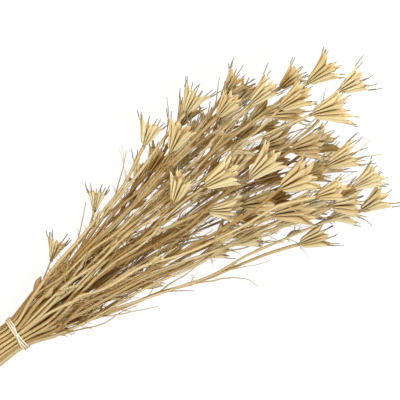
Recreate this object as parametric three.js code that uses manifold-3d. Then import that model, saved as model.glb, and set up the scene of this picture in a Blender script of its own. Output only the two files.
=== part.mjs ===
// A bunch of dried nigella stalks, each one ending in a flared seed pod, held by one rubber band.
// The bunch lies on its side. +X runs from the band towards the pods, +Y is sideways and +Z is up.
// The origin is the middle of the band's flat underside, on the surface that the bunch rests on.
// Every stalk grew as one piece, so its stem, its twig and its pods are one solid. Millimetres.
import * as THREE from "three";
import { mergeVertices } from "three/addons/utils/BufferGeometryUtils.js";
import Module from "manifold-3d";

// Bundle and band.
const BUNDLE_RADIUS = 16.5; // of the stems where the band holds them
const BAND_THICKNESS = 1.6;
const STRAND_WIDTH = 1.8; // the band goes round three times, so it shows as three strands
const STRANDS = 3;
const STRAND_GROOVE = 0.7; // depth of the groove between two strands
const BAND_SIDES = 28; // straight facets round the bundle, one of them facing straight down
const BAND_FLAT = 3; // half the width of the part of the band that lies flat on the surface
const BAND_HALF_WIDTH = (STRANDS * STRAND_WIDTH) / 2;
const BUNDLE_HEIGHT = BAND_THICKNESS + 0.7 + BUNDLE_RADIUS; // of the bundle's middle above the surface

// Stems.
const STEM_SIDES = 6;
const CUT_END = -72; // mean place of the cut ends along X
const CUT_SPREAD = 9;
const TAIL_FLARE = 1.1; // how much wider the bundle is at the cut ends than in the band
const STATION_STEP = 38; // distance between two sections of a stem
const STEM_RADIUS = { cut: 1.6, band: 1.45, middle: 1.2, neck: 1.5 };
const TWIG_RADIUS = { cut: 0.9, band: 0.85, middle: 0.75, neck: 0.95 };
const STEM_VARIATION = 0.2; // share by which one stem is thicker or thinner than the next
const BOW = { side: 15, rise: 12 }; // how far a stem's two bends may be drawn off its plain curve
const CROOK = { side: 3.2, rise: 2 }; // how far a section of a stem may lie off its bowed curve
const BAND_SHUFFLE = { side: 0.75, rise: 0.6 }; // of the stems in the band, in radii of the bundle

// Pods.
const CARPELS = 8; // the keeled chambers that make up one pod
const POD_WIDTH = 0.48; // radius of the mouth as a share of the pod's length
const POD_PROFILE = [
  // height and keel radius as shares of length and mouth radius, then the grooves' share of the keel radius
  { height: 0.06, keel: 0.22, groove: 0.9 },
  { height: 0.42, keel: 0.5, groove: 0.52 },
  { height: 0.78, keel: 0.8, groove: 0.5 },
  { height: 1.0, keel: 1.0, groove: 0.55 },
];
const POD_BALLS = [
  // the balls that stand for a pod while the stalks settle, as the same shares
  { height: 0.28, radius: 0.44 },
  { height: 0.52, radius: 0.64 },
  { height: 0.76, radius: 0.86 },
  { height: 0.95, radius: 1.03 },
];
const MOUTH_DEPTH = 0.24; // how far the mouth sinks in, as a share of the pod's length

// Outline of the whole bunch, as an ellipse that grows from the band to the pods.
const RISE = 0.112; // of the bunch's middle line, per millimetre along X
const HALF_HEIGHT = { atBand: 15, growth: 0.115 };
const HALF_WIDTH = { atBand: 17, growth: 0.3 };

// How much room touching stalks are given.
const CLEARANCE = 1.1;
const SETTLE_PASSES = 600;
const STEM_FIRMNESS = 1; // how little a stem gives way, next to the pods' firmness in the lists below
const RETURN = 0.12; // share of its shift that a pod takes back in an early pass

// The stalks, as they are laid. Each pod is [reach, side, level, turn, length]: how far its base is from the
// band along X and to the side along Y, its level from -1 at the underside to 1 on top, the angle in the
// plan to which the pod has turned, and its length. A twig leaves the stem and carries a smaller pod. A few
// stems on one edge of the bunch are bowed to the side by a given amount and not by a random one.
const UPPER_STALKS = [
  { pod: [217, 69, 0.35, 34, 26], twig: [73, 40, 0.1, 36, 22] },
  { pod: [270, 77, 0.4, 26, 26], twig: [139, 55, 0.3, 48, 20] },
  { pod: [235, 55, 0.95, 28, 31], twig: [259, 58, 0.1, 42, 20] },
  { pod: [293, 63, 0.75, 15, 28], twig: [291, 48, 0.1, 20, 25] },
  { pod: [308, 66, 0.45, 11, 28] },
  { pod: [327, 48, 0.85, 6, 30] },
  { pod: [360, 44, 0.5, 6, 27] },
  { pod: [347, 28, 1.0, -4, 33] },
  { pod: [385, 24, 0.8, 0, 33] },
  { pod: [405, 10, 0.7, -7, 28] },
  { pod: [369, 6, 0.95, -22, 37] },
  { pod: [208, 13, 1.25, 34, 31] },
  { pod: [283, -10, 1.15, 6, 39] },
  { pod: [301, -31, 1.0, -8, 38] },
  { pod: [242, 1, 1.25, -6, 37] },
  { pod: [267, 4, 0.6, 20, 34] },
  { pod: [333, -25, 0.8, -25, 31] },
  { pod: [352, -40, 0.9, -10, 33], twig: [325, -48, 0.2, -18, 27] },
  { pod: [361, -72, 0.6, -7, 30], twig: [340, -80, -0.1, -14, 24], bow: 7 },
  { pod: [326, -70, 1.1, -18, 28], bow: 6 },
  { pod: [354, -98, 0.2, -3, 30], twig: [326, -88, -0.5, -24, 26], bow: 1 },
  { pod: [285, -92, -0.1, -16, 31], bow: -4 },
  { pod: [281, -42, 0.8, -26, 39] },
  { pod: [205, 60, 0.3, 22, 29] },
];
const MIDDLE_STALKS = [
  { pod: [272, 58, -0.1, 34, 22] },
  { pod: [335, 9, 0.4, -26, 36], twig: [323, 20, 0.0, -36, 20] },
  { pod: [309, 10, 0.5, -18, 35] },
  { pod: [343, -16, 0.25, -5, 34] },
  { pod: [332, -62, 0.25, -32, 30] },
  { pod: [303, -54, 0.1, -26, 26], bow: 4 },
  { pod: [261, -40, 0.5, -29, 34] },
  { pod: [231, -22, 0.95, -34, 33] },
  { pod: [216, -44, 0.45, 14, 26], twig: [169, -20, 0.4, 10, 21], bow: 6 },
  { pod: [234, -50, -0.1, -16, 27] },
  { pod: [308, -46, 0.35, -18, 28] },
  { pod: [251, -24, 0.2, 14, 25], twig: [123, -28, 0.3, 16, 20] },
  { pod: [319, 32, -0.1, 2, 31] },
  { pod: [297, 24, -0.2, 8, 30] },
  { pod: [267, 26, 0.3, 12, 29] },
  { pod: [281, -48, -0.3, -16, 28] },
  { pod: [299, -4, -0.2, -4, 30] },
  { pod: [221, 40, -0.2, 22, 27] },
  { pod: [312, -30, -0.3, -14, 29] },
  { pod: [247, -6, 0.1, -10, 31] },
];
const UNDER_STALKS = [
  { pod: [292, -60, -1.1, -14, 29] },
  { pod: [339, -34, -1.0, -10, 32] },
  { pod: [307, 2, -1.1, 4, 31] },
  { pod: [279, 40, -1.1, 14, 29] },
  { pod: [249, -38, -1.1, -8, 29] },
  { pod: [257, 62, -0.5, 26, 26] },
  { pod: [188, 44, -0.3, 32, 24] },
  { pod: [243, 16, -1.0, 8, 29] },
  { pod: [285, -26, -0.6, -8, 31] },
  { pod: [315, 46, -0.2, 10, 30] },
  { pod: [199, -36, -0.5, -16, 27] },
  { pod: [203, 24, -0.4, 16, 27] },
];

const POD_FIRMNESS = [9, 3, 2]; // of the pods of each of the three lists

const STRAW = 0xd6bc84;
const RUBBER = 0xcfc8b6;

// A repeatable random number from 0 to 1.
let seed = 15511;
function random() {
  seed = (seed * 48271) % 2147483647;
  return seed / 2147483647;
}

const between = (low, high) => low + (high - low) * random();
const mix = THREE.MathUtils.lerp;
const clamp = THREE.MathUtils.clamp;

// A place in the bunch from its reach, side and level.
function placeAt(reach, side, level) {
  const halfWidth = HALF_WIDTH.atBand + HALF_WIDTH.growth * reach;
  const halfHeight = HALF_HEIGHT.atBand + HALF_HEIGHT.growth * reach;
  const roundness = Math.sqrt(Math.max(0.15, 1 - (side / halfWidth) ** 2));
  return new THREE.Vector3(reach, side, BUNDLE_HEIGHT + RISE * reach + level * halfHeight * roundness);
}

// The pod's mouth direction: turned in the plan, and a little up or down with its level.
function podDirection(turn, level) {
  const plan = THREE.MathUtils.degToRad(turn);
  const pitch = THREE.MathUtils.degToRad(4 + 9 * level);
  return new THREE.Vector3(
    Math.cos(plan) * Math.cos(pitch),
    Math.sin(plan) * Math.cos(pitch),
    Math.sin(pitch),
  );
}

// A shoot is a row of points from its start to the base of its pod. All but the pod may bend.
function makeShoot([reach, side, level, turn, length], start, startDirection, stations, radii, bow) {
  const base = placeAt(reach, side, level);
  const direction = podDirection(turn, level);
  const span = base.x - start.x;
  const straight = base.clone().sub(start);
  const bowing = Math.min(1, span / 250);
  const bowShift = () => {
    const shift = randomShift(BOW, bowing);
    return bow === undefined ? shift : shift.setY(bow);
  };
  const neckDirection = mixDirection(direction, straight, 0.6);
  const curve = new THREE.CubicBezierCurve3(
    start,
    start.clone().addScaledVector(startDirection, span * 0.35).add(bowShift()),
    base.clone().addScaledVector(neckDirection, -span * 0.3).add(bowShift()),
    base,
  );
  const points = stations.map((x) => pointAtX(curve, x));
  points.slice(1, -1).forEach((p) => p.add(randomShift(CROOK, 1)));
  const thickness = 1 + between(-STEM_VARIATION, STEM_VARIATION);
  return {
    points,
    home: points.map((p) => p.clone()),
    radii: stations.map((x) => thickness * radiusAt(radii, (x - start.x) / span, x)),
    direction,
    length,
    mouth: length * POD_WIDTH,
  };
}

// A random shift across X, up to a share of the given size.
function randomShift({ side, rise }, share) {
  return new THREE.Vector3(0, share * between(-side, side), share * between(-rise, rise));
}

function mixDirection(direction, other, share) {
  return direction.clone().lerp(other.clone().normalize(), share).normalize();
}

// The curve's point in the plane at X = x. X only grows along a stem, so halving the range finds it.
function pointAtX(curve, x) {
  let low = 0;
  let high = 1;
  for (let i = 0; i < 30; i++) {
    const middle = (low + high) / 2;
    if (curve.getPoint(middle).x < x) low = middle;
    else high = middle;
  }
  const point = curve.getPoint(high);
  point.x = x;
  return point;
}

// A stem thins away from the band and swells again just under the pod.
function radiusAt(radii, share, x) {
  if (x <= 0) return mix(radii.band, radii.cut, x / CUT_END);
  if (share < 0.8) return mix(radii.band, radii.middle, share / 0.8);
  return mix(radii.middle, radii.neck, (share - 0.8) / 0.2);
}

function evenSteps(from, to, step) {
  const count = Math.max(2, Math.round((to - from) / step));
  return Array.from({ length: count + 1 }, (_, i) => mix(from, to, i / count));
}

// The place of a stem inside the band: the bunch's outline shrunk to the bundle, with the stems shuffled.
function placeInBand([reach, side, level]) {
  const halfWidth = HALF_WIDTH.atBand + HALF_WIDTH.growth * reach;
  const inBand = new THREE.Vector2(side / halfWidth, level * 0.8);
  const { side: sideways, rise } = BAND_SHUFFLE;
  inBand.add(new THREE.Vector2(between(-sideways, sideways), between(-rise, rise)));
  return inBand.clampLength(0, 0.9).multiplyScalar(BUNDLE_RADIUS);
}

function makeStalk({ pod, twig, bow }, firmness) {
  const inBand = placeInBand(pod);
  const cut = CUT_END + between(-CUT_SPREAD, CUT_SPREAD);
  const middle = new THREE.Vector3(0, inBand.x, BUNDLE_HEIGHT + inBand.y);
  const base = placeAt(...pod);
  const outward = base.clone().sub(middle).normalize();
  const head = makeShoot(pod, middle, outward, evenSteps(0, pod[0], STATION_STEP), STEM_RADIUS, bow);
  const flare = 1 + (TAIL_FLARE - 1) * between(0.5, 1.5);
  [cut / 2, cut].forEach((x, i) => {
    const spread = i ? flare : 1.03;
    const point = new THREE.Vector3(x, inBand.x * spread, BUNDLE_HEIGHT + inBand.y * spread);
    head.points.unshift(point);
    head.home.unshift(point.clone());
    head.radii.unshift(head.radii[0] + (STEM_RADIUS.cut - STEM_RADIUS.band) / 2);
  });
  const shoots = twig ? [head, makeTwig(twig, head)] : [head];
  shoots.forEach((shoot) => (shoot.firmness = firmness));
  return shoots;
}

// A twig starts inside the stem at one of its stations, far enough back to leave it at a slender angle.
function makeTwig(twig, head) {
  const place = placeAt(...twig);
  const run = clamp(place.distanceTo(nearestOf(head.points, place)) * 2.6, 45, 110);
  const root = head.points.findLastIndex((p) => p.x < twig[0] - run * 0.9);
  const start = head.points[root].clone();
  const along = head.points[root + 1].clone().sub(start).normalize();
  const stations = evenSteps(start.x, twig[0], STATION_STEP * 0.75);
  const shoot = makeShoot(twig, start, mixDirection(along, place.sub(start), 0.6), stations, TWIG_RADIUS);
  shoot.stem = head;
  shoot.root = root;
  return shoot;
}

function nearestOf(points, place) {
  return points.reduce((a, b) => (a.distanceTo(place) < b.distanceTo(place) ? a : b));
}

// The room that a shoot takes: its stem's pieces, then a row of balls that widens with the pod.
function piecesOf(shoot) {
  const last = shoot.points.length - 1;
  const pieces = shoot.points.slice(1).map((_, i) => ({
    shoot,
    from: i,
    to: i + 1,
    start: () => shoot.points[i],
    end: () => shoot.points[i + 1],
    radii: [shoot.radii[i], shoot.radii[i + 1]],
    firmness: STEM_FIRMNESS,
  }));
  const balls = POD_BALLS.map(({ height, radius }) => {
    const centre = () => shoot.points[last].clone().addScaledVector(shoot.direction, height * shoot.length);
    const radii = Array(2).fill(radius * shoot.mouth);
    return { shoot, from: last, to: last, start: centre, end: centre, radii, firmness: shoot.firmness };
  });
  return [...pieces, ...balls];
}

// Shares along two straight pieces at which they come closest.
function closestShares(p, q, r, s) {
  const u = q.clone().sub(p);
  const v = s.clone().sub(r);
  const w = p.clone().sub(r);
  const uu = Math.max(u.dot(u), 1e-9);
  const uv = u.dot(v);
  const vv = Math.max(v.dot(v), 1e-9);
  const flat = Math.max(uu * vv - uv * uv, 1e-9);
  let a = clamp((uv * v.dot(w) - vv * u.dot(w)) / flat, 0, 1);
  const b = clamp((a * uv + v.dot(w)) / vv, 0, 1);
  a = clamp((b * uv - u.dot(w)) / uu, 0, 1);
  return [a, b];
}

function move(piece, share, y, z) {
  const { shoot, from, to } = piece;
  shoot.points[from].y += y * (from === to ? 1 : 1 - share);
  shoot.points[from].z += z * (from === to ? 1 : 1 - share);
  if (from !== to) {
    shoot.points[to].y += y * share;
    shoot.points[to].z += z * share;
  }
}

// Moves two pieces apart, across X, until they are the clearance apart. Returns how much was missing.
function pushApart(one, other) {
  const ends = [one.start(), one.end(), other.start(), other.end()];
  const [a, b] = closestShares(...ends);
  const here = ends[0].clone().lerp(ends[1], a);
  const there = ends[2].clone().lerp(ends[3], b);
  const apart = here.sub(there);
  const needed = mix(...one.radii, a) + mix(...other.radii, b) + CLEARANCE;
  const missing = needed - apart.length();
  if (missing <= 0) return 0;
  const across = Math.hypot(apart.y, apart.z);
  const y = across > 1e-3 ? apart.y / across : 0;
  const z = across > 1e-3 ? apart.z / across : 1;
  const share = other.firmness / (one.firmness + other.firmness);
  const step = missing * 0.9;
  move(one, a, y * step * share, z * step * share);
  move(other, b, -y * step * (1 - share), -z * step * (1 - share));
  return missing;
}

// Pairs of pieces that could meet: X never changes, so their stretches of X must overlap.
function pairsThatCouldMeet(shoots) {
  const pieces = shoots.flatMap(piecesOf);
  const pairs = [];
  pieces.forEach((one, i) => {
    const reachOne = [one.start().x - one.radii[0], one.end().x + one.radii[1]];
    pieces.slice(i + 1).forEach((other) => {
      const reachOther = [other.start().x - other.radii[0], other.end().x + other.radii[1]];
      const overlap = reachOne[0] < reachOther[1] && reachOther[0] < reachOne[1];
      if (overlap && !grownTogether(one, other)) pairs.push([one, other]);
    });
  });
  return pairs;
}

// One shoot's own pieces never part, nor does a twig from the stem near its root.
function grownTogether(one, other) {
  if (one.shoot === other.shoot) return true;
  const [twig, stem] = one.shoot.stem === other.shoot ? [one, other] : [other, one];
  return twig.shoot.stem === stem.shoot && (twig.from === 0 || stem.from < twig.shoot.root);
}

// Lets the laid stalks settle: they push each other aside, stay off the surface and inside the band, and each
// stem spreads its own shift evenly so that it bends without kinks.
function settle(shoots) {
  const pairs = pairsThatCouldMeet(shoots);
  for (let pass = 0; pass < SETTLE_PASSES; pass++) {
    const share = 0.35 * Math.max(0, 1 - (1.15 * pass) / SETTLE_PASSES);
    shoots.forEach((shoot) => spreadShift(shoot, share));
    pairs.forEach(([one, other]) => pushApart(one, other));
    shoots.forEach(keepInBounds);
  }
}

function spreadShift({ points, home }, share) {
  const shift = points.map((p, i) => p.clone().sub(home[i]));
  points[points.length - 1].addScaledVector(shift[points.length - 1], -share * RETURN);
  for (let i = 1; i < points.length - 1; i++) {
    const even = shift[i - 1].clone().add(shift[i + 1]).multiplyScalar(0.5);
    points[i].copy(home[i]).add(shift[i].lerp(even, share));
  }
}

function keepInBounds(shoot) {
  const { points, radii, direction, length, mouth } = shoot;
  points.forEach((p, i) => {
    p.z = Math.max(p.z, radii[i] + 0.4);
    if (Math.abs(p.x) < 1e-6) {
      const room = new THREE.Vector2(p.y, p.z - BUNDLE_HEIGHT).clampLength(0, BUNDLE_RADIUS - radii[i]);
      p.y = room.x;
      p.z = BUNDLE_HEIGHT + room.y;
    }
  });
  const base = points[points.length - 1];
  base.z = Math.max(base.z, mouth + 0.4 - direction.z * length);
  if (shoot.stem) points[0].copy(shoot.stem.points[shoot.root]);
}

// A ring of points round a centre, square to a direction.
function ringAt(centre, direction, radii) {
  const side = new THREE.Vector3(0, 0, 1).cross(direction).normalize();
  const up = direction.clone().cross(side);
  return radii.map((radius, i) => {
    const angle = (2 * Math.PI * i) / radii.length;
    return centre
      .clone()
      .addScaledVector(side, radius * Math.cos(angle))
      .addScaledVector(up, radius * Math.sin(angle));
  });
}

const roundSection = (radius) => Array(STEM_SIDES).fill(radius);
const starSection = (keel, groove) =>
  Array.from({ length: 2 * CARPELS }, (_, i) => (i % 2 ? keel * groove : keel));

function stemRings({ points, radii, direction }) {
  const last = points.length - 1;
  return points.map((p, i) => {
    const behind = i ? p.clone().sub(points[i - 1]).normalize() : new THREE.Vector3();
    const ahead = i < last ? points[i + 1].clone().sub(p).normalize() : direction;
    return ringAt(p, behind.add(ahead).normalize(), roundSection(radii[i]));
  });
}

function podRings({ points, direction, length, mouth }) {
  const base = points[points.length - 1];
  return POD_PROFILE.map(({ height, keel, groove }) => {
    const centre = base.clone().addScaledVector(direction, height * length);
    return ringAt(centre, direction, starSection(keel * mouth, groove));
  });
}

// Triangles between two rings, which may have different numbers of points.
function bridge(first, firstCount, second, secondCount) {
  const triangles = [];
  let i = 0;
  let j = 0;
  while (i < firstCount || j < secondCount) {
    const a = first + (i % firstCount);
    const b = second + (j % secondCount);
    if (j === secondCount || (i < firstCount && (i + 0.5) / firstCount <= (j + 0.5) / secondCount)) {
      i++;
      triangles.push(a, first + (i % firstCount), b);
    } else {
      j++;
      triangles.push(a, second + (j % secondCount), b);
    }
  }
  return triangles;
}

// One closed mesh from a shoot's cut end to the sunken mouth of its pod.
function shootGeometry(shoot) {
  const rings = [...stemRings(shoot), ...podRings(shoot)];
  const firstOf = [];
  const positions = [];
  rings.forEach((ring) => {
    firstOf.push(positions.length / 3);
    ring.forEach((p) => positions.push(p.x, p.y, p.z));
  });
  const triangles = [];
  for (let i = 1; i < STEM_SIDES - 1; i++) triangles.push(0, i + 1, i);
  for (let k = 1; k < rings.length; k++)
    triangles.push(...bridge(firstOf[k - 1], rings[k - 1].length, firstOf[k], rings[k].length));
  const base = shoot.points[shoot.points.length - 1];
  const pit = base.clone().addScaledVector(shoot.direction, shoot.length * (1 - MOUTH_DEPTH));
  const rim = firstOf[rings.length - 1];
  const rimCount = 2 * CARPELS;
  positions.push(pit.x, pit.y, pit.z);
  for (let i = 0; i < rimCount; i++)
    triangles.push(rim + i, rim + ((i + 1) % rimCount), rim + rimCount);
  return new THREE.BufferGeometry()
    .setAttribute("position", new THREE.Float32BufferAttribute(positions, 3))
    .setIndex(triangles);
}

const wasm = await Module();
wasm.setup();

function toSolid(geometry) {
  const merged = mergeVertices(geometry);
  return new wasm.Manifold(
    new wasm.Mesh({
      numProp: 3,
      vertProperties: merged.attributes.position.array,
      triVerts: new Uint32Array(merged.index.array),
    }),
  );
}

function toGeometry(solid) {
  const mesh = solid.getMesh();
  return new THREE.BufferGeometry()
    .setAttribute("position", new THREE.Float32BufferAttribute(mesh.vertProperties, 3))
    .setIndex(new THREE.BufferAttribute(mesh.triVerts, 1));
}

function stalkGeometry([head, twig]) {
  if (!twig) return shootGeometry(head);
  return toGeometry(toSolid(shootGeometry(head)).add(toSolid(shootGeometry(twig))));
}

// How far the stems reach from the bundle's middle in one direction, anywhere under the band.
function bundleReach(shoots, y, z) {
  const reaches = [-BAND_HALF_WIDTH - 0.5, 0, BAND_HALF_WIDTH + 0.5].flatMap((x) =>
    shoots
      .filter((shoot) => shoot.points[0].x < x)
      .map((shoot) => {
        const k = shoot.points.findIndex((p) => p.x > x);
        const [a, b] = [shoot.points[k - 1], shoot.points[k]];
        const p = a.clone().lerp(b, (x - a.x) / (b.x - a.x));
        return p.y * y + (p.z - BUNDLE_HEIGHT) * z + shoot.radii[k - 1];
      }),
  );
  return Math.max(...reaches);
}

// The band pulled tight round the bundle: a closed outline of straight facets, carrying a section with one
// flat-topped ridge for each strand. Its lowest facet lies flat on the surface.
function bandGeometry(shoots) {
  const angles = Array.from({ length: BAND_SIDES }, (_, i) => (2 * Math.PI * i) / BAND_SIDES - Math.PI / 2);
  const toSurface = BUNDLE_HEIGHT - BAND_THICKNESS;
  const reach = angles.map((t) => {
    const [y, z] = [Math.cos(t), Math.sin(t)];
    return Math.max(bundleReach(shoots, y, z) + 0.35, BAND_FLAT * Math.abs(y) - toSurface * z);
  });
  const section = bandSection();
  const positions = [];
  section.forEach(([x, depth]) => {
    angles.forEach((t, i) => {
      const next = (i + 1) % BAND_SIDES;
      const half = Math.PI / BAND_SIDES;
      const [a, b] = [reach[i] + depth, reach[next] + depth];
      const along = (b - a * Math.cos(2 * half)) / Math.sin(2 * half);
      const y = a * Math.cos(t) - along * Math.sin(t);
      const z = a * Math.sin(t) + along * Math.cos(t);
      positions.push(x, y, BUNDLE_HEIGHT + z);
    });
  });
  const triangles = [];
  section.forEach((_, k) => {
    const next = (k + 1) % section.length;
    triangles.push(...bridge(k * BAND_SIDES, BAND_SIDES, next * BAND_SIDES, BAND_SIDES));
  });
  return new THREE.BufferGeometry()
    .setAttribute("position", new THREE.Float32BufferAttribute(positions, 3))
    .setIndex(triangles);
}

// Points of [place along X, height above the stems] round the band's section.
function bandSection() {
  const section = [
    [BAND_HALF_WIDTH, 0],
    [-BAND_HALF_WIDTH, 0],
  ];
  for (let strand = 0; strand < STRANDS; strand++) {
    const x = -BAND_HALF_WIDTH + strand * STRAND_WIDTH;
    section.push([x + STRAND_WIDTH * 0.2, BAND_THICKNESS], [x + STRAND_WIDTH * 0.8, BAND_THICKNESS]);
    if (strand < STRANDS - 1) section.push([x + STRAND_WIDTH, BAND_THICKNESS - STRAND_GROOVE]);
  }
  return section;
}

function namedMesh(name, geometry, material) {
  geometry.computeVertexNormals();
  const mesh = new THREE.Mesh(geometry, material);
  mesh.name = name;
  return mesh;
}

const straw = new THREE.MeshStandardMaterial({ color: STRAW, roughness: 0.75, metalness: 0 });
const rubber = new THREE.MeshStandardMaterial({ color: RUBBER, roughness: 0.55, metalness: 0 });

const layers = [UPPER_STALKS, MIDDLE_STALKS, UNDER_STALKS];
const stalks = layers.flatMap((layer, i) => layer.map((stalk) => makeStalk(stalk, POD_FIRMNESS[i])));
const shoots = stalks.flat();
settle(shoots);

const bunch = new THREE.Group();
stalks.forEach((stalk, i) => {
  const name = "stalk_" + String(i + 1).padStart(2, "0");
  bunch.add(namedMesh(name, stalkGeometry(stalk), straw));
});
bunch.add(namedMesh("rubber_band", bandGeometry(shoots), rubber));

export default bunch;
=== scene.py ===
# A tied bunch of dried nigella stalks with flared seed pods, lying on its side on a white table.
# Metres. +X runs from the rubber band to the pods, +Z is up, and the table is at Z = 0.
import math

import bpy
import numpy as np
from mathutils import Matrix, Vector


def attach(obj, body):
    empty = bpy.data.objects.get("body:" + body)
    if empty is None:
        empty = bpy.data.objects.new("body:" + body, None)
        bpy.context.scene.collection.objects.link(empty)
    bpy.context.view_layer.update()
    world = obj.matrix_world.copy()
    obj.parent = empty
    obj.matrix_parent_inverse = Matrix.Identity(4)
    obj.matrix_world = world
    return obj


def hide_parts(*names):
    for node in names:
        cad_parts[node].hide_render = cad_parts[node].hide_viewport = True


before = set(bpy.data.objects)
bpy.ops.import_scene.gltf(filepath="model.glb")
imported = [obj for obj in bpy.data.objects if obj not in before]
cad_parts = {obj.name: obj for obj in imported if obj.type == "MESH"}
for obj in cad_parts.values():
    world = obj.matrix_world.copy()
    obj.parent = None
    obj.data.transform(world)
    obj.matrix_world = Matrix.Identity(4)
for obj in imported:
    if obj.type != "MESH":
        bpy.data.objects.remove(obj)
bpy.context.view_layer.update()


# ---- The table, the lamps and the camera ----------------------------------------------------
# The bunch lies on a great white sheet that glows until it is pure white and takes only a faint
# shadow, with a white wall far off round it. A small soft box shines slantwise from the -Y side,
# and wide weak ones from the other side and the pods' end. The camera looks straight down.

TABLE_RADIUS = 18.0
WALL_HEIGHT = 8.0
PAPER_GLOW = 0.9
CAMERA_HEIGHT = 3.0
SHARP_HEIGHT = 0.07   # height above the table at which the picture is 0.4 m wide
PICTURE_WIDTH = 0.4
SENSOR_WIDTH = 36.0   # millimetres
PICTURE_MIDDLE = (0.2305, 0.0005)
CAMERA_TURN = math.radians(-36)
ROOM_GLOW = 0.65
ROOM_ABOVE = (255, 224, 156)
ROOM_BELOW = (160, 96, 36)
LIT_PLACE = (0.25, 0, 0.05)


def colour(red, green, blue):
    """A colour from the 0 to 255 scale of a paint chart, as the shader wants it."""
    def linear(c):
        c /= 255
        return c / 12.92 if c <= 0.04045 else ((c + 0.055) / 1.055) ** 2.4
    return (linear(red), linear(green), linear(blue), 1.0)


def new_material(name, roughness):
    """A material with its nodes, its links and its Principled shader."""
    material = bpy.data.materials.new(name)
    material.use_nodes = True
    nodes, links = material.node_tree.nodes, material.node_tree.links
    shader = nodes["Principled BSDF"]
    shader.inputs["Roughness"].default_value = roughness
    return material, nodes, links, shader


paper, nodes, links, shader = new_material("white_paper", 0.9)
shader.inputs["Base Color"].default_value = colour(110, 110, 110)
shader.inputs["Specular IOR Level"].default_value = 0.0
shader.inputs["Emission Color"].default_value = (1, 1, 1, 1)
shader.inputs["Emission Strength"].default_value = PAPER_GLOW
corners = 48
rim = [(TABLE_RADIUS * math.cos(2 * math.pi * k / corners),
        TABLE_RADIUS * math.sin(2 * math.pi * k / corners)) for k in range(corners)]
points = [(x, y, z) for z in (0, WALL_HEIGHT) for x, y in rim]
faces = [tuple(range(corners))]
faces += [(k, k + corners, (k + 1) % corners + corners, (k + 1) % corners) for k in range(corners)]
table_mesh = bpy.data.meshes.new("table")
table_mesh.from_pydata(points, [], faces)
table_mesh.materials.append(paper)
table = bpy.data.objects.new("table", table_mesh)
table.visible_diffuse = False   # the room lights the straw, and not the glow of the paper
table.visible_shadow = False
bpy.context.scene.collection.objects.link(table)


def ramp_node(nodes, links, value, stops):
    node = nodes.new("ShaderNodeValToRGB")
    links.new(value, node.inputs["Fac"])
    while len(node.color_ramp.elements) < len(stops):
        node.color_ramp.elements.new(0.5)
    for element, (place, shade) in zip(node.color_ramp.elements, stops):
        element.position = place
        element.color = shade
    return node.outputs["Color"]


def math_node(nodes, links, operation, *values):
    node = nodes.new("ShaderNodeMath")
    node.operation = operation
    for socket, value in zip(node.inputs, values):
        if isinstance(value, bpy.types.NodeSocket):
            links.new(value, socket)
        else:
            socket.default_value = value
    return node.outputs[0]


world = bpy.data.worlds.new("white_room")
world.use_nodes = True
nodes, links = world.node_tree.nodes, world.node_tree.links
direction = nodes.new("ShaderNodeSeparateXYZ")
links.new(nodes.new("ShaderNodeTexCoord").outputs["Generated"], direction.inputs[0])
height = math_node(nodes, links, "MULTIPLY_ADD", direction.outputs["Z"], 0.5, 0.5)
room = ramp_node(nodes, links, height, [(0.4, colour(*ROOM_BELOW)), (0.5, colour(*ROOM_ABOVE))])
links.new(room, nodes["Background"].inputs["Color"])
nodes["Background"].inputs["Strength"].default_value = ROOM_GLOW
bpy.context.scene.world = world


def soft_box(name, place, size, watts, tint):
    """A round lamp that faces the middle of the bunch."""
    lamp = bpy.data.lights.new(name, "AREA")
    lamp.color = tint
    lamp.shape = "DISK"
    lamp.size = size
    lamp.energy = watts
    box = bpy.data.objects.new(name, lamp)
    box.location = place
    towards = Vector(LIT_PLACE) - Vector(place)
    box.rotation_euler = towards.to_track_quat("-Z", "Y").to_euler()
    bpy.context.scene.collection.objects.link(box)


soft_box("key_lamp", (0.42, -0.85, 2.1), 0.35, 34, (0.81, 0.98, 1.16))
soft_box("fill_lamp", (0.0, 1.3, 1.7), 1.2, 10, (1.0, 0.95, 0.86))
soft_box("front_lamp", (2.2, 0.5, 0.9), 1.0, 22, (1.0, 0.97, 0.92))

camera_data = bpy.data.cameras.new("camera")
camera_data.sensor_width = SENSOR_WIDTH
camera_data.lens = SENSOR_WIDTH * (CAMERA_HEIGHT - SHARP_HEIGHT) / PICTURE_WIDTH
camera = bpy.data.objects.new("camera", camera_data)
camera.location = (*PICTURE_MIDDLE, CAMERA_HEIGHT)
camera.rotation_euler = (0, 0, CAMERA_TURN)
bpy.context.scene.collection.objects.link(camera)
bpy.context.scene.camera = camera
bpy.context.scene.view_settings.view_transform = "Standard"


# ---- The stalks' lines ----------------------------------------------------------------------
# Each stalk is a dry hollow stem, cut at the thick end and swelling into a pod at the thin end.
# Some carry a thinner twig with a smaller pod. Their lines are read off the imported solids, whose
# rings of points follow the stem from its cut end to the mouth of the pod.

STEM_RING = 6         # points in a ring of a solid's stem
POD_RING = 16         # points in a ring of a solid's pod
UNEVEN = 1.2          # a ring whose spokes differ by more than this ratio isn't a clean one
TWIG_RUN = 0.03       # length along X over which a twig parts from its stem


def solid_of(name):
    """The places of a solid's corners and, for each corner, its neighbours."""
    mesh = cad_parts[name].data
    numbers, places, number_of = {}, [], []
    for vertex in mesh.vertices:
        key = tuple(round(c * 1e6) for c in vertex.co)
        if key not in numbers:
            numbers[key] = len(places)
            places.append(tuple(vertex.co))
        number_of.append(numbers[key])
    beside = [set() for _ in places]
    for edge in mesh.edges:
        a, b = (number_of[v] for v in edge.vertices)
        if a != b:
            beside[a].add(b)
            beside[b].add(a)
    return np.array(places), beside


def next_ring(ring, before, beside):
    return set().union(*(beside[v] for v in ring)) - ring - before


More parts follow.
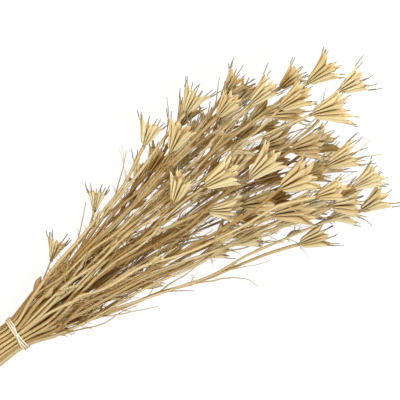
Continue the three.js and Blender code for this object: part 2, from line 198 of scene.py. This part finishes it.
def rings_from(ring, before, beside, places):
    """Clean rings of the stem, one after another, up to where a twig or the end spoils one."""
    rings = []
    while len(ring) == STEM_RING:
        spokes = np.linalg.norm(places[list(ring)] - places[list(ring)].mean(0), axis=1)
        if spokes.max() > UNEVEN * spokes.min():
            break
        rings.append((places[list(ring)].mean(0), spokes.mean()))
        ring, before = next_ring(ring, before, beside), ring
    return rings


def shoots_of(name):
    """The shoots of a stalk, its own stem first: each is a line, its radii, and its pod."""
    places, beside = solid_of(name)
    shoots = []
    for pit in (v for v in range(len(places)) if len(beside[v]) == POD_RING):
        rim, before = set(beside[pit]), {pit}
        if len(next_ring(rim, before, beside)) != POD_RING:
            continue
        mouth = places[list(rim)]
        ring = rim
        while len(ring) == POD_RING:
            ring, before = next_ring(ring, before, beside), ring
        rings = rings_from(ring, before, beside, places)[::-1]
        line = np.array([centre for centre, _ in rings])
        radii = np.array([radius for _, radius in rings])
        axis = mouth.mean(0) - line[-1]
        shoots.append({
            "line": line, "radii": radii, "axis": axis / np.linalg.norm(axis),
            "length": np.linalg.norm(axis),
            "mouth": np.linalg.norm(mouth - mouth.mean(0), axis=1).max(),
        })
    shoots.sort(key=lambda shoot: -shoot["radii"][-1])
    cut_ring = set(np.argsort(places[:, 0])[:STEM_RING].tolist())
    tail = rings_from(cut_ring, set(), beside, places)
    main = shoots[0]
    missing = [(c, r) for c, r in tail if c[0] < main["line"][0][0] - 0.002]
    if missing:
        main["line"] = np.vstack([[c for c, _ in missing], main["line"]])
        main["radii"] = np.concatenate([[r for _, r in missing], main["radii"]])
    for twig in shoots[1:]:
        join_to(main, twig)
    return shoots


def join_to(main, twig):
    """Leads a twig's line back into the stem, so that it leaves it at a slender angle."""
    start = twig["line"][0]
    back = start[0] - TWIG_RUN
    root = np.array([np.interp(back, main["line"][:, 0], main["line"][:, k]) for k in range(3)])
    twig["line"] = np.vstack([root, twig["line"]])
    twig["radii"] = np.concatenate([[twig["radii"][0] * 0.9], twig["radii"]])


stalk_names = sorted(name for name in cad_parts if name.startswith("stalk"))
stalks = {name: shoots_of(name) for name in stalk_names}


# ---- The stems ------------------------------------------------------------------------------
# Dry, hollow, finely ribbed straw, about 3 mm thick, slightly swollen and bent at each node. A
# node keeps the shrivelled threads of the leaf that grew there. The cut ends show pale pith.

STEM_STEP = 0.007         # between two rings of points along a stem
STEM_SIDES = 12
RIB_HEIGHT = 0.06         # of a rib, as a share of the stem's radius
FIRST_NODE = 0.1          # least distance from the cut end to the first node
FIRST_TWIG_NODE = 0.03    # the same from the place where a twig leaves the stem
FIRST_NODE_SPREAD = 0.05
NODE_GAP = (0.055, 0.1)   # between two nodes
LAST_NODE_GAP = 0.02      # least distance from the last node to the pod
NODE_SWELL = 0.24
NODE_LENGTH = 0.0024
ZIGZAG = 0.0007           # how far a stem is bent aside from one node to the next
NECK_LENGTH = 0.03        # of the stretch below the pod in which the zigzag dies out
THREAD_STEP = 0.005
THREAD_TIP = 0.35         # a thread's radius at its tip, as a share of that at its root
THREAD_RADIUS = 0.00045
THREAD_LENGTH = (0.014, 0.04)
THREAD_WAVE = 0.07        # how much a thread wavers from step to step
HOOK_RADIUS = 0.0007
HOOK_LENGTH = (0.003, 0.008)
WISPS = (0, 2)            # at one node
WISP_RADIUS = 0.0009
WISP_LENGTH = (0.04, 0.095)
WISP_LEAN = 0.11          # angle between a wisp and its stem
SHEATH_CHANCE = 0.3
SHEATH_RADIUS = (0.0016, 0.0036)
SHEATH_LENGTH = (0.012, 0.03)
STEM_TONES = (0.0, 1.0)
PITH_RINGS = (            # radius as a share of the stem's, and height above the cut
    (0.9, 0.0002), (0.86, 0.0004), (0.35, 0.0003), (0.2, -0.0006))
TABLE_GAP = 0.0003        # nothing comes closer to the table than this


class Shape:
    """Points, faces and marks that are gathered into one mesh."""

    def __init__(self):
        self.points, self.faces, self.marks, self.count = [], [], {}, 0

    def add(self, points, faces, **marks):
        points = np.asarray(points, float).reshape(-1, 3)
        self.points.append(points)
        self.faces += [tuple(v + self.count for v in face) for face in faces]
        for name, values in marks.items():
            values = np.broadcast_to(np.asarray(values, float), points.shape[:1])
            self.marks.setdefault(name, []).append(values)
        self.count += len(points)

    def piece(self, name, material, node, slot):
        """Makes the object, marks its points for the material, and places it on the bunch."""
        points = np.vstack(self.points)
        points[:, 2] = np.maximum(points[:, 2], TABLE_GAP)
        mesh = bpy.data.meshes.new(name)
        mesh.from_pydata(points.tolist(), [], self.faces)
        for mark, values in self.marks.items():
            layer = mesh.attributes.new(mark, "FLOAT", "POINT")
            layer.data.foreach_set("value", np.concatenate(values).astype(np.float32))
        mesh.polygons.foreach_set("use_smooth", [True] * len(mesh.polygons))
        mesh.materials.append(material)
        mesh.validate()
        piece = bpy.data.objects.new(name, mesh)
        bpy.context.scene.collection.objects.link(piece)
        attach(piece, "root")
        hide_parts(node)


def smooth_line(line, radii, step):
    """A smooth curve through the points of a line, with its radii, in steps of about one length."""
    known = np.column_stack([line, radii])
    known = np.vstack([2 * known[0] - known[1], known, 2 * known[-1] - known[-2]])
    curve = []
    for before, here, there, after in zip(known, known[1:], known[2:], known[3:]):
        steps = max(1, round(np.linalg.norm((there - here)[:3]) / step))
        for t in np.arange(steps)[:, None] / steps:
            curve.append(0.5 * (2 * here + (there - before) * t
                                + (2 * before - 5 * here + 4 * there - after) * t ** 2
                                + (3 * here - before - 3 * there + after) * t ** 3))
    curve = np.vstack([*curve, known[-2]])
    return curve[:, :3], curve[:, 3]


def frames_along(line):
    """Directions along a line and two directions across it that don't twist."""
    along = np.gradient(line, axis=0)
    along /= np.linalg.norm(along, axis=1)[:, None]
    across = np.empty_like(along)
    side = np.cross((0, 0, 1), along[0])
    if np.linalg.norm(side) < 1e-3:
        side = np.cross((0, 1, 0), along[0])
    for i, direction in enumerate(along):
        side = side - direction * side.dot(direction)
        side /= np.linalg.norm(side)
        across[i] = side
    return along, across, np.cross(along, across)


def tube(line, rings):
    """Points and faces round a line. rings holds a radius for each side at each of its points."""
    _, across, up = frames_along(line)
    count, sides = rings.shape
    turn = np.arange(sides) * 2 * math.pi / sides
    points = (line[:, None] + across[:, None] * (rings * np.cos(turn))[..., None]
              + up[:, None] * (rings * np.sin(turn))[..., None])
    faces = [(i * sides + j, i * sides + (j + 1) % sides,
              (i + 1) * sides + (j + 1) % sides, (i + 1) * sides + j)
             for i in range(count - 1) for j in range(sides)]
    faces.append(tuple(range(sides))[::-1])
    faces.append(tuple((count - 1) * sides + j for j in range(sides)))
    return points.reshape(-1, 3), faces


def add_thread(shape, start, direction, length, radius, chance, tone, curl=(0.4, 1.6), flat=1.0):
    """A dry thread that tapers and curls, such as one lobe of a shrivelled leaf. A flat share
    below 1 makes it a ribbon."""
    steps = max(5, round(length / THREAD_STEP))
    bend = np.cross(direction, chance.normal(size=3)) * chance.uniform(*curl)
    line, heading = [start], direction.copy()
    for _ in range(steps):
        line.append(line[-1] + heading * length / steps)
        heading = heading + bend / steps + chance.normal(size=3) * THREAD_WAVE
        heading /= np.linalg.norm(heading)
    radii = radius * np.linspace(1, THREAD_TIP, steps + 1)
    if flat < 1:
        waver = chance.uniform(0.8, 1.2, steps + 1)
        radii = radius * np.sin(np.linspace(0.5, 3.0, steps + 1)) * waver
    rings = radii[:, None] * np.array([1, flat, 1, flat])
    points, faces = tube(np.array(line), rings)
    shape.add(points, faces, tone=tone, along=np.repeat(np.linspace(0, length, steps + 1), 4),
              round=np.tile(np.arange(4) / 4, steps + 1), pith=0.0)
    return np.array(line)


def aside_from(direction, lean, chance):
    """A direction that leans away from the given one by an angle, to any side."""
    aside = np.cross(direction, chance.normal(size=3))
    aside /= np.linalg.norm(aside)
    return direction * math.cos(lean) + aside * math.sin(lean)


def add_leaf(shape, start, along, chance, tone):
    """The remains of one divided leaf: a bent rib and a few side threads."""
    heading = aside_from(along, chance.uniform(0.2, 0.7), chance)
    length = chance.uniform(*THREAD_LENGTH)
    rib = add_thread(shape, start, heading, length, THREAD_RADIUS, chance, tone)
    for _ in range(chance.integers(1, 5)):
        add_thread(shape, rib[chance.integers(2, 5)], aside_from(heading, 0.5, chance),
                   length * chance.uniform(0.3, 0.7), THREAD_RADIUS * 0.75, chance, tone)


def add_node_parts(shape, start, along, chance, tone):
    """What is left at a node: leaf threads, a hooked stub or two, and now and then a long bare
    side twig or a crumpled strip of leaf sheath."""
    for _ in range(chance.integers(1, 3)):
        add_leaf(shape, start, along, chance, np.clip(tone + chance.normal() * 0.15, 0, 1))
    for _ in range(chance.integers(0, 3)):
        add_thread(shape, start, aside_from(along, 0.8, chance), chance.uniform(*HOOK_LENGTH),
                   HOOK_RADIUS, chance, tone * 0.4, curl=(0.8, 2.2))
    for _ in range(chance.integers(*WISPS, endpoint=True)):
        add_thread(shape, start, aside_from(along, WISP_LEAN, chance),
                   chance.uniform(*WISP_LENGTH), WISP_RADIUS, chance,
                   np.clip(tone + chance.normal() * 0.25, 0, 1), curl=(0, 0.35))
    if chance.random() < SHEATH_CHANCE:
        add_thread(shape, start, aside_from(along, 0.4, chance), chance.uniform(*SHEATH_LENGTH),
                   chance.uniform(*SHEATH_RADIUS), chance,
                   np.clip(tone + chance.uniform(0, 0.5), 0, 1), curl=(0.5, 1.8), flat=0.12)


def add_stem(shape, shoot, chance, tone, is_twig):
    """One ribbed stem or twig with its nodes and what is left of its leaves."""
    line, radii = smooth_line(shoot["line"], shoot["radii"], STEM_STEP)
    run = np.concatenate([[0], np.cumsum(np.linalg.norm(np.diff(line, axis=0), axis=1))])
    nodes_at = []
    place = (FIRST_TWIG_NODE if is_twig else FIRST_NODE) + chance.uniform(0, FIRST_NODE_SPREAD)
    while place < run[-1] - LAST_NODE_GAP:
        nodes_at.append(place)
        place += chance.uniform(*NODE_GAP)
    along, across, _ = frames_along(line)
    bends = np.array([0, *nodes_at, run[-1]])
    aside = ZIGZAG * (-1.0) ** np.arange(len(bends))
    aside[0] = 0
    shift = np.interp(run, bends, aside) * np.clip((run[-1] - run) / NECK_LENGTH, 0, 1)
    line = line + across * shift[:, None]
    swell = 1 + sum(NODE_SWELL * np.exp(-((run - at) / NODE_LENGTH) ** 2) for at in nodes_at)
    ribs = 1 + RIB_HEIGHT * np.where(np.arange(STEM_SIDES) % 2, -1, 1)
    rings = (radii * swell)[:, None] * ribs
    points, faces = tube(line, rings)
    shape.add(points, faces, tone=tone, along=np.repeat(run, STEM_SIDES),
              round=np.tile(np.arange(STEM_SIDES) / STEM_SIDES, len(run)), pith=0.0)
    if not is_twig:
        add_cut_end(shape, line[0], -along[0], across[0], radii[0], tone)
    for at in nodes_at:
        k = int(np.searchsorted(run, at))
        add_node_parts(shape, line[k], along[k], chance, tone)


def add_cut_end(shape, middle, out, side, radius, tone):
    """The pale pith in the cut end, with a small hole down its middle."""
    up = np.cross(out, side)
    turn = np.arange(STEM_SIDES) * 2 * math.pi / STEM_SIDES
    rings = []
    for share, rise in PITH_RINGS:
        spokes = side * np.cos(turn)[:, None] + up * np.sin(turn)[:, None]
        rings.append(middle + out * rise + spokes * radius * share)
    faces = [(i * STEM_SIDES + j, i * STEM_SIDES + (j + 1) % STEM_SIDES,
              (i + 1) * STEM_SIDES + (j + 1) % STEM_SIDES, (i + 1) * STEM_SIDES + j)
             for i in range(len(rings) - 1) for j in range(STEM_SIDES)]
    faces.append(tuple((len(rings) - 1) * STEM_SIDES + j for j in range(STEM_SIDES)))
    faces.append(tuple(range(STEM_SIDES))[::-1])
    shape.add(np.vstack(rings), faces, tone=tone, along=0.0, round=0.0, pith=1.0)


def mark_node(nodes, name):
    node = nodes.new("ShaderNodeAttribute")
    node.attribute_name = name
    return node.outputs["Fac"]


def blend_node(nodes, links, factor, low, high):
    """Mixes two colours, each given as a colour or as another node's output."""
    node = nodes.new("ShaderNodeMix")
    node.data_type = "RGBA"
    for socket, value in ((node.inputs[0], factor), (node.inputs[6], low), (node.inputs[7], high)):
        if isinstance(value, bpy.types.NodeSocket):
            links.new(value, socket)
        else:
            socket.default_value = value
    return node.outputs[2]


def noise_node(nodes, links, place, scale, detail=3.0):
    node = nodes.new("ShaderNodeTexNoise")
    node.inputs["Scale"].default_value = scale
    node.inputs["Detail"].default_value = detail
    links.new(place, node.inputs["Vector"])
    return node.outputs["Fac"]


straw, nodes, links, shader = new_material("dry_straw", 0.62)
shader.inputs["Specular IOR Level"].default_value = 0.3
tone = mark_node(nodes, "tone")
along = mark_node(nodes, "along")
around = mark_node(nodes, "round")
grain_place = nodes.new("ShaderNodeCombineXYZ")
links.new(math_node(nodes, links, "MULTIPLY", along, 9.0), grain_place.inputs[0])
links.new(math_node(nodes, links, "MULTIPLY", around, 9.0), grain_place.inputs[1])
links.new(math_node(nodes, links, "MULTIPLY", tone, 40.0), grain_place.inputs[2])
streaks = noise_node(nodes, links, grain_place.outputs[0], 1.6, 4.0)
body = ramp_node(nodes, links, tone, [
    (0.0, colour(148, 106, 52)), (0.45, colour(186, 157, 102)), (1.0, colour(224, 210, 170))])
streaked = ramp_node(nodes, links, streaks, [
    (0.3, colour(124, 82, 34)), (0.5, colour(186, 156, 100)), (0.72, colour(240, 230, 198))])
surface = blend_node(nodes, links, 0.42, body, streaked)
surface = blend_node(nodes, links, mark_node(nodes, "pith"), surface, colour(236, 222, 184))
links.new(surface, shader.inputs["Base Color"])
bump = nodes.new("ShaderNodeBump")
bump.inputs["Strength"].default_value = 0.35
bump.inputs["Distance"].default_value = 0.0004
links.new(streaks, bump.inputs["Height"])
links.new(bump.outputs[0], shader.inputs["Normal"])

for number, name in enumerate(stalk_names):
    chance = np.random.default_rng(100 + number)
    stem_tone = chance.uniform(*STEM_TONES)
    shape = Shape()
    for k, shoot in enumerate(stalks[name]):
        add_stem(shape, shoot, chance, stem_tone, is_twig=k > 0)
    shape.piece(name.replace("stalk", "stem"), straw, name, "stalk")


# ---- The seed pods --------------------------------------------------------------------------
# A pod is a ring of folded papery carpels on a small collar. Low down each carpel is a narrow
# round-backed tube with a raised keel, pressed against its neighbours. Higher up it opens into a
# broad flared blade, whose point the dry style carries on as a thin grey awn.

CARPELS = (10, 14)
COLLAR_RADIUS = 0.0019
COLLAR_SIDES = 14
COLLAR_RISE = np.array([-0.0024, -0.0014, -0.0004, 0.0006, 0.0014])   # along the pod's axis
COLLAR_SHARES = (0.88, 1.0, 0.9, 0.5)   # of its radius, above the first ring, which fits the stem
BLADE_THICKNESS = 0.00035
BLADE_COLUMNS = np.array(
    [-1, -0.92, -0.78, -0.58, -0.36, -0.18, -0.07, 0, 0.07, 0.18, 0.36, 0.58, 0.78, 0.92, 1])
BLADE_ROWS = 15
BELLY = 0.27              # of the mouth's radius, reached just above the collar
OPENS = (0.4, 0.95)       # the heights between which a carpel's tube opens into its blade
OPEN_FOLD = 0.17          # how deep an open blade is still folded, as a share of its radius
FRAY = 0.012              # unevenness of a blade's end, as a share of its length
RIPPLE = 0.014            # height of the waves across an open blade
RIDGE = 0.07              # height of the ridge along the keel, low down
RIDGE_LOSS = 0.04         # how much of it is lost where the blade is open
RIDGE_WIDTH = 0.09
AWN_RADIUS = 0.00065
AWN_ROOT = 0.0015         # length of an awn that is sunk in its blade
AWN_STEPS = 5
AWN_SIDES = 5
AWN_LENGTH = (0.004, 0.013)
AWN_CHANCE = 0.8
AWN_SHARES = (0.35, 0.7, 1.0)   # some pods keep their awns whole, and others have lost the ends
MOUTH_SPREAD = 1.06
BROWN_SHARE = 0.1


def ease(value, low, high):
    """Goes smoothly from 0 to 1 as the value goes from low to high."""
    share = np.clip((value - low) / (high - low), 0, 1)
    return share * share * (3 - 2 * share)


def add_blade(shape, place, width, carpel, chance):
    """One carpel as a thin closed shell, then its awn. place turns height, turn and radius into
    a point of the pod, and width is half the angle that one carpel takes up."""
    t = BLADE_COLUMNS[None, :]
    reach = carpel["reach"] * (1 - carpel["cut"] * np.abs(t) ** 1.2)
    reach = reach + chance.normal(size=t.shape) * FRAY
    h = np.linspace(0, 1, BLADE_ROWS)[:, None] ** 0.9 * reach
    opening = ease(h, *OPENS)
    keel = BELLY * (1 - np.exp(-h / 0.05)) + (1 - BELLY) * h ** carpel["flare"]
    keel = keel + carpel["lean"] * h ** 2 + carpel["curl"] * h ** 6
    fold = carpel["fold"] * (1 - opening) + OPEN_FOLD * opening
    bend = np.abs(t) ** (2.6 - 1.3 * opening)
    ripple = RIPPLE * opening * np.cos(3.5 * math.pi * t + carpel["phase"])
    ridge = (RIDGE - RIDGE_LOSS * opening) * np.exp(-(t / RIDGE_WIDTH) ** 2)
    radius = keel * (1 - fold * bend + ripple + ridge + carpel["shingle"] * t * opening)
    turn = t * width * (0.97 + carpel["widen"] * opening)
    turn = turn + carpel["turn"] + carpel["sway"] * h ** 2
    outer = place(h, turn, radius)
    rows, columns = radius.shape
    normal = np.cross(np.gradient(outer, axis=1), np.gradient(outer, axis=0))
    normal /= np.maximum(np.linalg.norm(normal, axis=2), 1e-12)[..., None]
    inner = outer - normal * BLADE_THICKNESS
    grid = np.arange(rows * columns).reshape(rows, columns)
    back = grid + rows * columns
    front_faces = np.stack([grid[:-1, :-1], grid[:-1, 1:], grid[1:, 1:], grid[1:, :-1]], -1)
    back_faces = np.stack([back[1:, :-1], back[1:, 1:], back[:-1, 1:], back[:-1, :-1]], -1)
    edge = np.concatenate([grid[0, :], grid[1:, -1], grid[-1, -2::-1], grid[-2:0:-1, 0]])
    after = np.roll(edge, -1)
    rim = np.stack([after, edge, edge + rows * columns, after + rows * columns], -1)
    faces = np.concatenate([front_faces.reshape(-1, 4), back_faces.reshape(-1, 4), rim]).tolist()
    heights = np.tile(np.broadcast_to(h, radius.shape).ravel(), 2)
    shape.add(
        np.concatenate([outer.reshape(-1, 3), inner.reshape(-1, 3)]), faces,
        tone=carpel["tone"], height=heights, across=np.tile(np.tile(t.ravel(), rows), 2),
        inside=np.repeat([0.0, 1.0], rows * columns), awn=0.0, collar=0.0)
    if carpel["awn"] > 0:
        middle = columns // 2
        tip = (outer[-1, middle] + inner[-1, middle]) / 2
        heading = outer[-1, middle] - outer[-4, middle]
        add_awn(shape, tip, heading / np.linalg.norm(heading), carpel["awn"], chance)


def add_awn(shape, tip, heading, length, chance):
    """A thin tapering point that goes on from the tip of a blade."""
    curl = np.cross(heading, chance.normal(size=3)) * chance.uniform(0, 0.3)
    line = [tip - heading * AWN_ROOT]
    for _ in range(AWN_STEPS):
        line.append(line[-1] + heading * (length + AWN_ROOT) / AWN_STEPS)
        heading = heading + curl / AWN_STEPS
        heading /= np.linalg.norm(heading)
    radii = AWN_RADIUS * np.linspace(1, 0.5, AWN_STEPS + 1)
    points, faces = tube(np.array(line), np.repeat(radii[:, None], AWN_SIDES, axis=1))
    shape.add(points, faces, tone=chance.uniform(0.2, 0.8), height=1.0, across=0.0, inside=0.0,
              awn=np.repeat(np.linspace(0.6, 1, AWN_STEPS + 1), AWN_SIDES), collar=0.0)


def add_pod(shape, shoot, chance, tone):
    """A collar round the end of the stem and the carpels that stand on it."""
    axis, base = shoot["axis"], shoot["line"][-1]
    side = np.cross((0, 0, 1), axis)
    side /= np.linalg.norm(side)
    up = np.cross(axis, side)
    squash = chance.uniform(0.86, 1.0)
    tilt = chance.uniform(0, math.pi)
    mouth, length = shoot["mouth"] * MOUTH_SPREAD, shoot["length"]

    def place(h, turn, radius):
        y = radius * np.cos(turn - tilt) * squash
        x = radius * np.sin(turn - tilt)
        y, x = y * math.cos(tilt) - x * math.sin(tilt), y * math.sin(tilt) + x * math.cos(tilt)
        h = np.broadcast_to(h, np.shape(radius))
        return (base + axis * (h * length)[..., None] + side * (y * mouth)[..., None]
                + up * (x * mouth)[..., None])

    carpels = chance.integers(*CARPELS, endpoint=True)
    start = chance.uniform(0, 2 * math.pi)
    flare = chance.uniform(1.05, 1.5)
    spread = chance.uniform(-0.12, 0.1)
    awns = chance.choice(AWN_SHARES)
    for k in range(carpels):
        awn = chance.uniform(*AWN_LENGTH) * awns
        carpel = {
            "turn": start + 2 * math.pi * (k + chance.uniform(-0.08, 0.08)) / carpels,
            "reach": chance.uniform(0.84, 1.05), "cut": chance.uniform(0.14, 0.36),
            "flare": flare * chance.uniform(0.94, 1.06), "lean": spread + chance.normal() * 0.04,
            "curl": chance.uniform(-0.02, 0.1), "fold": chance.uniform(0.66, 0.82),
            "widen": chance.uniform(0.0, 0.35), "sway": chance.normal() * 0.1,
            "shingle": 0.05 * chance.choice([-1, 1]), "phase": chance.uniform(0, 6),
            "tone": np.clip(tone + chance.normal() * 0.09, 0, 1),
            "awn": awn if chance.random() < AWN_CHANCE else 0,
        }
        add_blade(shape, place, math.pi / carpels, carpel, chance)
    radii = np.array([shoot["radii"][-1] * 1.04, *(COLLAR_RADIUS * n for n in COLLAR_SHARES)])
    points, faces = tube(base + axis * COLLAR_RISE[:, None],
                         np.repeat(radii[:, None], COLLAR_SIDES, axis=1))
    shape.add(points, faces, tone=tone, height=0.0, across=0.0, inside=0.0, awn=0.0, collar=1.0)


papery, nodes, links, shader = new_material("papery_carpel", 0.52)
shader.inputs["Specular IOR Level"].default_value = 0.35
tone = mark_node(nodes, "tone")
height = mark_node(nodes, "height")
across = mark_node(nodes, "across")
vein_place = nodes.new("ShaderNodeCombineXYZ")
links.new(math_node(nodes, links, "MULTIPLY", across, 8.0), vein_place.inputs[0])
links.new(math_node(nodes, links, "MULTIPLY", height, 1.0), vein_place.inputs[1])
links.new(math_node(nodes, links, "MULTIPLY", tone, 60.0), vein_place.inputs[2])
veins = noise_node(nodes, links, vein_place.outputs[0], 1.7, 4.0)
blade = ramp_node(nodes, links, tone, [
    (0.0, colour(172, 128, 66)), (0.35, colour(210, 184, 126)), (1.0, colour(238, 227, 190))])
veined = ramp_node(nodes, links, veins, [
    (0.3, colour(182, 140, 74)), (0.5, colour(222, 203, 156)), (0.7, colour(245, 238, 210))])
surface = blend_node(nodes, links, 0.45, blade, veined)
# Painted highlight: a pale line runs along the keel.
off_keel = math_node(nodes, links, "ABSOLUTE", across)
keel = math_node(nodes, links, "MULTIPLY_ADD", off_keel, -7.0, 1.0)
keel = math_node(nodes, links, "MULTIPLY", math_node(nodes, links, "MAXIMUM", keel, 0.0), 0.75)
surface = blend_node(nodes, links, keel, surface, colour(250, 242, 210))
# Painted shade: the valleys between the carpels are darkened, most of all low down, and less so
# inside the pod.
valley_shade = math_node(nodes, links, "MULTIPLY_ADD", off_keel, 3.2, -1.7)
low = math_node(nodes, links, "MULTIPLY_ADD", height, -1.6, 1.45)
shade = math_node(nodes, links, "MULTIPLY", math_node(nodes, links, "MAXIMUM", valley_shade, 0.0),
                  math_node(nodes, links, "MAXIMUM", low, 0.0))
inside = mark_node(nodes, "inside")
shade = math_node(nodes, links, "MULTIPLY", shade,
                  math_node(nodes, links, "MULTIPLY_ADD", inside, -0.8, 1.0))
surface = blend_node(nodes, links, math_node(nodes, links, "MINIMUM", shade, 0.92), surface,
                     colour(84, 46, 14))
# The inner faces are a little browner, the collar is tan and the awns are grey.
surface = blend_node(nodes, links, math_node(nodes, links, "MULTIPLY", inside, 0.35), surface,
                     colour(224, 192, 136))
surface = blend_node(nodes, links, mark_node(nodes, "collar"), surface, colour(160, 130, 84))
surface = blend_node(nodes, links, mark_node(nodes, "awn"), surface, colour(66, 60, 58))
links.new(surface, shader.inputs["Base Color"])
bump = nodes.new("ShaderNodeBump")
bump.inputs["Strength"].default_value = 0.4
bump.inputs["Distance"].default_value = 0.0005
links.new(veins, bump.inputs["Height"])
links.new(bump.outputs[0], shader.inputs["Normal"])

for number, name in enumerate(stalk_names):
    chance = np.random.default_rng(500 + number)
    shape = Shape()
    for shoot in stalks[name]:
        brown = chance.random() < BROWN_SHARE
        pod_tone = chance.uniform(0.0, 0.25) if brown else chance.uniform(0.35, 1)
        add_pod(shape, shoot, chance, pod_tone)
    shape.piece(name.replace("stalk", "pods"), papery, name, "stalk")


# ---- The rubber band ------------------------------------------------------------------------
# One thin natural rubber band, stretched round the stems three times. Where it comes back to its
# own beginning it crosses over the other turns.

TURNS = 3
TURN_PITCH = 0.0019
STRAND_WIDTH = 0.0017
STRAND_HEIGHT = 0.0011
CROSSING = 0.2            # share of a turn in which the band crosses back
CROSSING_AT = 0.16        # where the crossing starts, as a share of a turn from +Y towards +Z
WANDER = 0.00025          # how far the turns stray from even spirals
LIE = 0.55                # height of a turn's middle above the stems, in strand heights
HUMP = 0.95               # how much higher the crossing turn goes, in strand heights
CORNERS = 0.6             # below 1, the strand's section is a rounded rectangle
BAND_STEPS = 64           # points in one turn
SECTION_SIDES = 10

band_places, _ = solid_of("rubber_band")
inner = band_places[band_places[:, 0] > band_places[:, 0].max() - 1e-5]
band_middle = np.array([inner[:, 1].mean(), (inner[:, 2].min() + inner[:, 2].max()) / 2])
spokes = inner[:, 1:] - band_middle
inner_turn = np.arctan2(spokes[:, 1], spokes[:, 0])
order = np.argsort(inner_turn)
inner_turn, inner_reach = inner_turn[order], np.linalg.norm(spokes, axis=1)[order]

steps = TURNS * BAND_STEPS
share = np.arange(steps) / BAND_STEPS
angle = 2 * math.pi * (share + CROSSING_AT + CROSSING)
back = np.clip((share - (TURNS - CROSSING)) / CROSSING, 0, 1)
crossed = ease(back, 0, 1)
wander = WANDER * np.sin(2 * angle + share)
band_x = (share * TURNS / (TURNS - 0.5) - TURNS / 2) * TURN_PITCH * (1 - crossed)
band_x = band_x - crossed * TURNS / 2 * TURN_PITCH + wander
lift = STRAND_HEIGHT * (LIE + HUMP * np.sin(math.pi * back) ** 0.7)
reach = np.interp(angle, inner_turn, inner_reach, period=2 * math.pi) + lift
band_line = np.column_stack([
    band_x, band_middle[0] + reach * np.cos(angle), band_middle[1] + reach * np.sin(angle)])
out = np.column_stack([np.zeros(steps), np.cos(angle), np.sin(angle)])
forward = np.roll(band_line, -1, axis=0) - np.roll(band_line, 1, axis=0)
forward /= np.linalg.norm(forward, axis=1)[:, None]
sideways = np.cross(out, forward)
sideways /= np.linalg.norm(sideways, axis=1)[:, None]
section = 2 * math.pi * np.arange(SECTION_SIDES) / SECTION_SIDES
wide = np.sign(np.cos(section)) * np.abs(np.cos(section)) ** CORNERS * STRAND_WIDTH / 2
tall = np.sign(np.sin(section)) * np.abs(np.sin(section)) ** CORNERS * STRAND_HEIGHT / 2
points = (band_line[:, None] + sideways[:, None] * wide[None, :, None]
          + out[:, None] * tall[None, :, None])
faces = [(i * SECTION_SIDES + j, i * SECTION_SIDES + (j + 1) % SECTION_SIDES,
          (i + 1) % steps * SECTION_SIDES + (j + 1) % SECTION_SIDES,
          (i + 1) % steps * SECTION_SIDES + j)
         for i in range(steps) for j in range(SECTION_SIDES)]

rubber, nodes, links, shader = new_material("natural_rubber", 0.5)
shader.inputs["Specular IOR Level"].default_value = 0.4
where = nodes.new("ShaderNodeTexCoord")
cloud = noise_node(nodes, links, where.outputs["Object"], 240.0)
links.new(ramp_node(nodes, links, cloud, [
    (0.3, colour(214, 206, 186)), (0.7, colour(240, 236, 222))]), shader.inputs["Base Color"])
bump = nodes.new("ShaderNodeBump")
bump.inputs["Strength"].default_value = 0.15
bump.inputs["Distance"].default_value = 0.0002
links.new(noise_node(nodes, links, where.outputs["Object"], 1500.0), bump.inputs["Height"])
links.new(bump.outputs[0], shader.inputs["Normal"])
shape = Shape()
shape.add(points, faces)
shape.piece("band", rubber, "rubber_band", "band")
